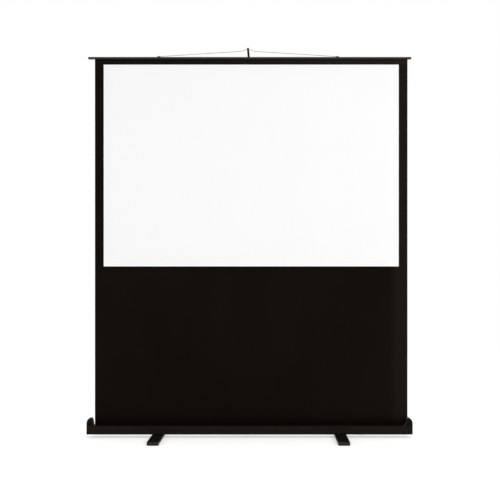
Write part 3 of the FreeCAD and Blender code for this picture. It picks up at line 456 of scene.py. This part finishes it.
def picture_coating():
    """Matte white projection surface: a fine coated weave with hardly any change of tone."""
    soft_white = (0.928, 0.928, 0.926)
    clear_white = (0.936, 0.936, 0.936)
    finish = Finish("picture_coating", specular=0.08)
    grain = finish.noise(per_metre=1100.0)
    tone = finish.noise(per_metre=3.0, detail=2.0)
    threads = weave(finish)
    white = finish.mix(finish.ramp(tone, 0.3, 0.7), soft_white, clear_white)
    finish.colour(finish.scaled(white, finish.ramp(threads, 0.0, 1.0, low=0.985, high=1.003)))
    finish.rough(grain, low=0.84, high=0.96)
    finish.bump(finish.math("ADD", threads, grain), strength=0.1, depth=0.0001)
    return finish.material


def flecked_weave(finish, skin, grain, palest):
    """Cloth of a skin colour, with flecks up to a palest share of it and threads that stand in relief."""
    threads = weave(finish)
    flecked = finish.scaled(skin, finish.ramp(grain, 0.45, 0.75, low=0.9, high=palest))
    finish.colour(finish.scaled(flecked, finish.ramp(threads, 0.0, 1.0, low=0.8, high=1.2)))
    finish.bump(finish.math("ADD", threads, grain), strength=0.2, depth=0.0001)


def black_cloth():
    """Black coated cloth: warm near-black, with painted sheen at its right and top edges and painted shade
    at the slot.
    """
    dark = (0.0042, 0.0027, 0.0018)
    light = (0.0054, 0.0037, 0.0026)
    painted_right_sheen = (0.0104, 0.0080, 0.0062)
    painted_top_sheen = (0.0148, 0.0112, 0.0086)
    painted_slot_shade = (0.0012, 0.0006, 0.0003)
    finish = Finish("black_cloth", specular=0.02)
    grain = finish.noise(per_metre=1100.0)
    tone = finish.noise(per_metre=2.2, detail=3.0, along=(1.0, 1.0, 0.6))
    across = finish.axis("X")
    up = finish.axis("Z")
    skin = finish.mix(finish.ramp(tone, 0.3, 0.7), dark, light)
    # painted sheen along the right edge
    right = finish.ramp(across, picture_high.x - RIGHT_FADE, picture_high.x, high=RIGHT_SHARE)
    skin = finish.mix(right, skin, painted_right_sheen)
    # painted sheen on the top border, stronger towards the right
    border = finish.ramp(up, picture_high.z, picture_high.z + TOP_FADE)
    rightward = finish.ramp(across, fabric_low.x, fabric_high.x, *TOP_SHARES)
    skin = finish.mix(finish.math("MULTIPLY", border, rightward), skin, painted_top_sheen)
    # painted shade on the cloth near the slot
    slot = finish.ramp(up, case_high.z + SLOT_FADE, case_high.z, high=SLOT_SHARE)
    skin = finish.mix(slot, skin, painted_slot_shade)
    flecked_weave(finish, skin, grain, palest=1.8)
    finish.rough(grain, low=0.5, high=0.7)
    return finish.material


def black_backing():
    """The fabric's back: a dull charcoal coating with a faint weave and cloudy tone."""
    dark = (0.0133, 0.0128, 0.0122)
    light = (0.0151, 0.0145, 0.0139)
    finish = Finish("black_backing", specular=0.06)
    grain = finish.noise(per_metre=900.0)
    tone = finish.noise(per_metre=4.0)
    skin = finish.mix(finish.ramp(tone, 0.3, 0.7), dark, light)
    flecked_weave(finish, skin, grain, palest=1.6)
    finish.rough(grain, low=0.6, high=0.8)
    return finish.material


FINISHES = {
    "black_metal": powder_coat(),
    "black_bar": anodised_bar(),
    "black_plastic": black_moulding(),
    "grey_steel": zinc_steel(),
    "wire_steel": dark_wire(),
    "mast_metal": drawn_tube(),
    "pad_rubber": dull_rubber(),
    "nylon": natural_nylon(),
    "picture_white": picture_coating(),
    "black_fabric": black_cloth(),
}
BACKING = black_backing()
MAST_MOULDING = mast_moulding()
NODE_FINISHES = {
    "_tip": tip_moulding(),
    "_end_cap": cap_moulding(),
    "_knuckle": MAST_MOULDING,
    "_collar": MAST_MOULDING,
    "_lever": MAST_MOULDING,
}


def dress_frame():
    """Give every CAD node the finish of its slot, or of its own name's ending."""
    for name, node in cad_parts.items():
        for holder in node.material_slots:
            holder.material = FINISHES[holder.material.name.split(".")[0]]
            for ending, finish in NODE_FINISHES.items():
                if name.endswith(ending):
                    holder.material = finish


# Pieces


def new_piece(name, vertices, faces, finishes, sharp=40.0):
    """A mesh object at the origin, smooth apart from edges sharper than an angle in degrees."""
    mesh = bpy.data.meshes.new(name)
    mesh.from_pydata(vertices.tolist(), [], faces)
    for finish in finishes:
        mesh.materials.append(finish)
    mesh.shade_smooth()
    mesh.set_sharp_from_angle(angle=math.radians(sharp))
    piece = bpy.data.objects.new(name, mesh)
    bpy.context.scene.collection.objects.link(piece)
    return piece


def belongs(piece, node, body):
    """Put a piece in place of a CAD node, on its body."""
    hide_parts(node)
    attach(piece, body)


def lines_through(stops):
    """Grid lines through every stop, evenly spaced between stops and at most a grid step apart."""
    spans = []
    for low, high in zip(stops, stops[1:]):
        spans.append(np.linspace(low, high, math.ceil((high - low) / GRID_STEP) + 1))
    return np.unique(np.concatenate(spans))


def fabric_set_back(x, z):
    """How far the fabric stands behind its flat plane.

    The free edges curl back by the square of the way into the edge strip, and faint upright swells run
    across the width as a sine. Both are multiplied by sin(pi u) to the hold power, with u the share of the
    way up from the slot to the bar, because the fabric is held flat there.
    """
    up = np.clip((z - case_high.z) / (bar_low.z - case_high.z), 0.0, 1.0)
    free = np.sin(np.pi * up) ** HOLD_POWER
    across = x - FABRIC_X
    into_edge = np.clip((np.abs(across) - FABRIC_HALF_W + EDGE_STRIP) / EDGE_STRIP, 0.0, 1.0)
    return free * (EDGE_CURL * into_edge**2 + SWELL * np.sin(2 * np.pi * across / SWELL_PITCH))


def cloth(name, x, z, wanted, finishes):
    """A thin closed sheet over the wanted cells of the grid of lines x and z.

    A vertex is (x, y, z) with y = plane + set-back, less half the thickness on the front layer and plus
    half on the back layer. A rim joins the layers along the edges that only one cell uses. The last
    finish covers the back.
    """
    across, up = np.meshgrid(x, z, indexing="ij")
    middle = FABRIC_Y + fabric_set_back(across, up)
    front = np.stack([across, middle - FABRIC_T / 2, up], axis=-1).reshape(-1, 3)
    count = len(front)
    index = np.arange(count).reshape(across.shape)
    corners = [index[:-1, :-1], index[1:, :-1], index[1:, 1:], index[:-1, 1:]]
    quads = np.stack(corners, axis=-1)[wanted]
    starts = quads.ravel()
    ends = np.roll(quads, -1, axis=1).ravel()
    edges = np.minimum(starts, ends) * count + np.maximum(starts, ends)
    _, first, uses = np.unique(edges, return_index=True, return_counts=True)
    a = starts[first[uses == 1]]
    b = ends[first[uses == 1]]
    rim = np.stack([b, a, a + count, b + count], axis=-1)
    faces = np.concatenate([quads, quads[:, ::-1] + count, rim])
    used, faces = np.unique(faces, return_inverse=True)
    faces = faces.reshape(-1, 4)
    vertices = np.concatenate([front, front + (0.0, FABRIC_T, 0.0)])[used]
    piece = new_piece(name, vertices, faces.tolist(), finishes)
    layer = np.zeros(len(faces), dtype=np.int32)
    layer[len(quads):2 * len(quads)] = len(finishes) - 1
    piece.data.polygons.foreach_set("material_index", layer)
    return piece


def screen_fabric():
    """The picture with its black backing, and the black drop and borders round it, from one grid."""
    x = lines_through([fabric_low.x, picture_low.x, picture_high.x, fabric_high.x])
    z = lines_through([fabric_low.z, picture_low.z, picture_high.z, fabric_high.z])
    cell_x = (x[:-1] + x[1:]) / 2
    cell_z = (z[:-1] + z[1:]) / 2
    inside_x = (cell_x > picture_low.x) & (cell_x < picture_high.x)
    inside_z = (cell_z > picture_low.z) & (cell_z < picture_high.z)
    inside = inside_x[:, None] & inside_z[None, :]
    picture = cloth("picture_cloth", x, z, inside, [FINISHES["picture_white"], BACKING])
    surround = cloth("surround_cloth", x, z, ~inside, [FINISHES["black_fabric"], BACKING])
    belongs(picture, "picture_sheet", "case")
    belongs(surround, "black_surround", "case")
    for piece in (picture, surround):
        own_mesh(piece)


def wire_line():
    """Points along the wire's smooth line, read from the NURBS spline on its route."""
    curve = bpy.data.curves.new("wire_route", "CURVE")
    curve.dimensions = "3D"
    spline = curve.splines.new("NURBS")
    spline.points.add(len(WIRE_ROUTE) - 1)
    for point, place in zip(spline.points, WIRE_ROUTE):
        point.co = (*place, 1.0)
    spline.order_u = 3
    spline.use_endpoint_u = True
    spline.resolution_u = WIRE_SPLINE_STEPS
    holder = bpy.data.objects.new("wire_route", curve)
    mesh = bpy.data.meshes.new_from_object(holder)
    points = np.empty(len(mesh.vertices) * 3, dtype=np.float32)
    mesh.vertices.foreach_get("co", points)
    bpy.data.meshes.remove(mesh)
    bpy.data.objects.remove(holder)
    bpy.data.curves.remove(curve)
    return points.reshape(-1, 3).astype(float)


def evenly(points, step):
    """The same line with its points a step apart, and how far along the line each of them is."""
    along = np.concatenate([[0.0], np.cumsum(np.linalg.norm(np.diff(points, axis=0), axis=1))])
    stations = np.linspace(0.0, along[-1], math.ceil(along[-1] / step) + 1)
    return np.stack([np.interp(stations, along, points[:, k]) for k in range(3)], axis=1), stations


def closed_rings(rings):
    """Faces of a tube of rings, with a fan at each end; the two poles are the last two vertices."""
    count, sides = rings.shape[:2]
    index = np.arange(count * sides).reshape(count, sides)
    after = np.roll(index, -1, axis=1)
    quads = np.stack([index[:-1], index[1:], after[1:], after[:-1]], axis=-1).reshape(-1, 4)
    pole = np.full(sides, count * sides)
    first = np.stack([pole, index[0], after[0]], axis=-1)
    last = np.stack([pole + 1, after[-1], index[-1]], axis=-1)
    return quads, np.concatenate([first, last])


def hanger_wire():
    """The stranded wire: a lobed profile carried along the route and turned as it goes.

    At the angle t round the line and the distance s along it, the radius is the wire's own, less a hollow
    between the strands that follows 1 - |cos(n (t - 2 pi s / lay) / 2)| for n strands.
    """
    line, along = evenly(wire_line(), WIRE_RING_STEP)
    tangent = np.gradient(line, axis=0)
    tangent /= np.linalg.norm(tangent, axis=1)[:, None]
    side = np.cross(tangent, (0.0, 1.0, 0.0))
    side /= np.linalg.norm(side, axis=1)[:, None]
    up = np.cross(side, tangent)
    turn = np.linspace(0.0, 2 * np.pi, WIRE_SIDES, endpoint=False)
    lay = turn[None, :] - 2 * np.pi * along[:, None] / STRAND_LAY
    radius = WIRE_R * (1 - STRAND_DEPTH * (1 - np.abs(np.cos(WIRE_STRANDS * lay / 2))))
    out = np.cos(turn)[None, :, None] * side[:, None, :] + np.sin(turn)[None, :, None] * up[:, None, :]
    rings = line[:, None, :] + radius[:, :, None] * out
    quads, fans = closed_rings(rings)
    vertices = np.concatenate([rings.reshape(-1, 3), line[[0, -1]]])
    faces = quads.tolist() + fans.tolist()
    wire = new_piece("hanger_wire_strands", vertices, faces, [FINISHES["wire_steel"]], sharp=75.0)
    belongs(wire, "hanger_wire", "top_bar")
    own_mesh(wire)


def falling_step(value, start):
    """1 below a start, 0 past the edge after it, and a smooth fall between."""
    share = np.clip((value - start) / CROSS_EDGE, 0.0, 1.0)
    return 1 - share * share * (3 - 2 * share)


def cross_recess(u, v):
    """The depth of a screw's cross: the deeper of two crossing slots with sloped sides."""
    first = falling_step(np.abs(u), CROSS_HALF_W) * falling_step(np.abs(v), CROSS_REACH)
    second = falling_step(np.abs(v), CROSS_HALF_W) * falling_step(np.abs(u), CROSS_REACH)
    return CROSS_DEPTH * np.maximum(first, second)


def screw_heads(name, node, body, places, axis, size):
    """Pan heads with a cross recess, in place of a node of plain screws.

    On rings p from 0 to 1 and angles t, the top is a dome that falls with p to the sixth power, less the
    cross. The last ring drops to the seat, and a pole closes each end.
    """
    radius, height = size
    p = np.append(np.linspace(0.0, 1.0, HEAD_RINGS + 1)[1:], 1.0)[:, None]
    t = np.linspace(0.0, 2 * np.pi, HEAD_SIDES, endpoint=False)[None, :]
    u = p * np.cos(t)
    v = p * np.sin(t)
    lift = 1 - HEAD_FALL * p**6 - cross_recess(u, v)
    lift[-1] = 0.0
    normal = np.array(axis, dtype=float)
    side = np.roll(normal, 1)
    other = np.cross(normal, side)
    rings = radius * (u[..., None] * side + v[..., None] * other) + height * lift[..., None] * normal
    quads, fans = closed_rings(rings)
    poles = [height * (1 - CROSS_DEPTH) * normal, 0.0 * normal]
    head = np.concatenate([rings.reshape(-1, 3), poles])
    vertices = (np.array(places)[:, None, :] + head[None, :, :]).reshape(-1, 3)
    shift = len(head) * np.arange(len(places))[:, None, None]
    faces = (quads + shift).reshape(-1, 4).tolist() + (fans + shift).reshape(-1, 3).tolist()
    piece = new_piece(name, vertices, faces, [FINISHES["grey_steel"]], sharp=50.0)
    belongs(piece, node, body)


def all_screw_heads():
    """The heads on the end caps, the mast's bracket and rest, and the wire's anchors.

    The outermost heads stand a radius inside their node's box. Screws side by side make a single row.
    """
    radius, height = CAP_SCREW
    low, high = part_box("end_cap_screws")
    seats = [(y, z) for y in (low.y + radius, high.y - radius) for z in (low.z + radius, high.z - radius)]
    for hand, side in (("left", -1), ("right", 1)):
        places = [(side * (high.x - height), y, z) for y, z in seats]
        screw_heads(f"{hand}_cap_screw_heads", "end_cap_screws", "case", places, (side, 0, 0), CAP_SCREW)
    radius, height = WALL_SCREW
    for holder in ("mast_bracket", "mast_rest"):
        node = f"{holder}_screws"
        low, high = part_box(node)
        rows = sorted({round(low.z + radius, 6), round(high.z - radius, 6)})
        places = [(x, high.y - height, z) for x in (low.x + radius, high.x - radius) for z in rows]
        screw_heads(f"{holder}_screw_heads", node, "case", places, (0, 1, 0), WALL_SCREW)
    radius, height = ANCHOR_SCREW
    low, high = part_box("wire_anchor_screws")
    ends = ((low.x + radius, 1), (high.x - radius, -1))
    across = [x + inward * step for x, inward in ends for step in (0.0, ANCHOR_SCREW_PITCH)]
    places = [(x, (low.y + high.y) / 2, high.z - height) for x in across]
    screw_heads("anchor_screw_heads", "wire_anchor_screws", "top_bar", places, (0, 0, 1), ANCHOR_SCREW)


def pivot_bolt():
    """The mast's shoulder bolt, with a hexagon socket in its head.

    Rings run from the socket's floor up its wall, out over the head, round the chamfer and down to the end
    of the shank. In the socket a ring is a hexagon: at the angle t its radius is the half width over
    cos(t'), with t' the angle from the middle of the nearest flat. The other rings are circles.
    """
    low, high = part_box("mast_pivot_bolt")
    middle = (low + high) / 2
    turn = np.linspace(0.0, 2 * np.pi, HEAD_SIDES, endpoint=False)
    hexagon = SOCKET_HALF_W / np.cos(np.mod(turn + np.pi / 6, np.pi / 3) - np.pi / 6)
    head = np.full(HEAD_SIDES, (high.x - low.x) / 2)
    shank = np.full(HEAD_SIDES, BOLT_SHANK_R)
    seat = high.y - BOLT_HEAD_T
    profile = [
        (SOCKET_TAPER * hexagon, high.y - SOCKET_DEPTH),
        (hexagon, high.y),
        (head - BOLT_CHAMFER, high.y),
        (head, high.y - BOLT_CHAMFER),
        (head, seat),
        (shank, seat),
        (shank, low.y),
    ]
    radius = np.stack([ring for ring, _ in profile])
    along = np.stack([np.full(HEAD_SIDES, y) for _, y in profile])
    rings = np.stack([middle.x + radius * np.sin(turn), along, middle.z + radius * np.cos(turn)], axis=-1)
    quads, fans = closed_rings(rings)
    poles = [(middle.x, profile[0][1], middle.z), (middle.x, low.y, middle.z)]
    vertices = np.concatenate([rings.reshape(-1, 3), poles])
    faces = quads.tolist() + fans.tolist()
    bolt = new_piece("mast_shoulder_bolt", vertices, faces, [FINISHES["grey_steel"]], sharp=30.0)
    belongs(bolt, "mast_pivot_bolt", "case")


# Studio


def point_at(piece, target):
    """Turn a lamp or camera to look at a point."""
    piece.rotation_euler = (Vector(target) - piece.location).to_track_quat("-Z", "Y").to_euler()


def softbox(name, place, size, level):
    """A square area lamp; its power gives a white face turned to it at the target the wanted level."""
    lamp = bpy.data.lights.new(name, "AREA")
    lamp.shape = "SQUARE"
    lamp.size = size
    lamp.energy = level * math.pi**2 * (Vector(LAMP_TARGET) - Vector(place)).length_squared
    box = bpy.data.objects.new(name, lamp)
    box.location = place
    bpy.context.scene.collection.objects.link(box)
    point_at(box, LAMP_TARGET)


def seen_directly(tree):
    """1 for rays that show the background itself: from the camera, in a reflection or through glass."""
    path = tree.nodes.new("ShaderNodeLightPath")
    total = path.outputs["Is Camera Ray"]
    for ray in ("Is Glossy Ray", "Is Transmission Ray"):
        larger = tree.nodes.new("ShaderNodeMath")
        larger.operation = "MAXIMUM"
        tree.links.new(total, larger.inputs[0])
        tree.links.new(path.outputs[ray], larger.inputs[1])
        total = larger.outputs["Value"]
    return total


def white_world():
    """White where it is seen, and a softer level as light."""
    world = bpy.data.worlds.new("studio")
    bpy.context.scene.world = world
    world.use_nodes = True
    tree = world.node_tree
    tree.nodes.clear()
    light = tree.nodes.new("ShaderNodeBackground")
    seen = tree.nodes.new("ShaderNodeBackground")
    for background, level in ((light, WORLD_LEVEL), (seen, 1.0)):
        background.inputs["Color"].default_value = (1.0, 1.0, 1.0, 1.0)
        background.inputs["Strength"].default_value = level
    mix = tree.nodes.new("ShaderNodeMixShader")
    output = tree.nodes.new("ShaderNodeOutputWorld")
    tree.links.new(seen_directly(tree), mix.inputs["Fac"])
    tree.links.new(light.outputs["Background"], mix.inputs[1])
    tree.links.new(seen.outputs["Background"], mix.inputs[2])
    tree.links.new(mix.outputs["Shader"], output.inputs["Surface"])


def floor_paint():
    """White floor paint that glows a little where it is seen and clears away far from the object."""
    material = bpy.data.materials.new("floor_paint")
    material.use_nodes = True
    tree = material.node_tree
    tree.nodes.clear()
    paint = tree.nodes.new("ShaderNodeBsdfDiffuse")
    paint.inputs["Color"].default_value = (FLOOR_WHITE, FLOOR_WHITE, FLOOR_WHITE, 1.0)
    glow = tree.nodes.new("ShaderNodeEmission")
    level = tree.nodes.new("ShaderNodeMath")
    level.operation = "MULTIPLY"
    level.inputs[1].default_value = FLOOR_GLOW
    tree.links.new(seen_directly(tree), level.inputs[0])
    tree.links.new(level.outputs["Value"], glow.inputs["Strength"])
    surface = tree.nodes.new("ShaderNodeAddShader")
    tree.links.new(paint.outputs["BSDF"], surface.inputs[0])
    tree.links.new(glow.outputs["Emission"], surface.inputs[1])
    place = tree.nodes.new("ShaderNodeTexCoord")
    away = tree.nodes.new("ShaderNodeVectorMath")
    away.operation = "LENGTH"
    fade = tree.nodes.new("ShaderNodeMapRange")
    fade.interpolation_type = "SMOOTHSTEP"
    fade.inputs["From Min"].default_value = FLOOR_NEAR
    fade.inputs["From Max"].default_value = FLOOR_FAR
    clear = tree.nodes.new("ShaderNodeBsdfTransparent")
    mix = tree.nodes.new("ShaderNodeMixShader")
    output = tree.nodes.new("ShaderNodeOutputMaterial")
    tree.links.new(place.outputs["Object"], away.inputs[0])
    tree.links.new(away.outputs["Value"], fade.inputs["Value"])
    tree.links.new(fade.outputs["Result"], mix.inputs["Fac"])
    tree.links.new(surface.outputs["Shader"], mix.inputs[1])
    tree.links.new(clear.outputs["BSDF"], mix.inputs[2])
    tree.links.new(mix.outputs["Shader"], output.inputs["Surface"])
    return material


def studio_floor():
    """A square of white floor under the object."""
    corners = np.array([(-1, -1, 0), (1, -1, 0), (1, 1, 0), (-1, 1, 0)]) * FLOOR_HALF
    new_piece("studio_floor", corners, [[0, 1, 2, 3]], [floor_paint()])


def front_camera():
    """The level camera, with its frame shifted so that the optical axis falls on its pixel."""
    camera = bpy.data.cameras.new("front_camera")
    camera.sensor_width = SENSOR_MM
    camera.lens = SENSOR_MM * FOCAL_PIXELS / FRAME_PIXELS
    camera.shift_x = (FRAME_PIXELS / 2 - AXIS_PIXEL[0]) / FRAME_PIXELS
    camera.shift_y = (AXIS_PIXEL[1] - FRAME_PIXELS / 2) / FRAME_PIXELS
    holder = bpy.data.objects.new("front_camera", camera)
    holder.location = CAMERA_PLACE
    bpy.context.scene.collection.objects.link(holder)
    x, y, z = CAMERA_PLACE
    point_at(holder, (x, y + 1.0, z))
    bpy.context.scene.camera = holder


def studio():
    """Camera, floor, background and soft lamps."""
    bpy.context.scene.view_settings.view_transform = "Standard"
    front_camera()
    white_world()
    studio_floor()
    for name, (place, size, level) in LAMPS.items():
        softbox(name, place, size, level)


dress_frame()
screen_fabric()
hanger_wire()
all_screw_heads()
pivot_bolt()
studio()
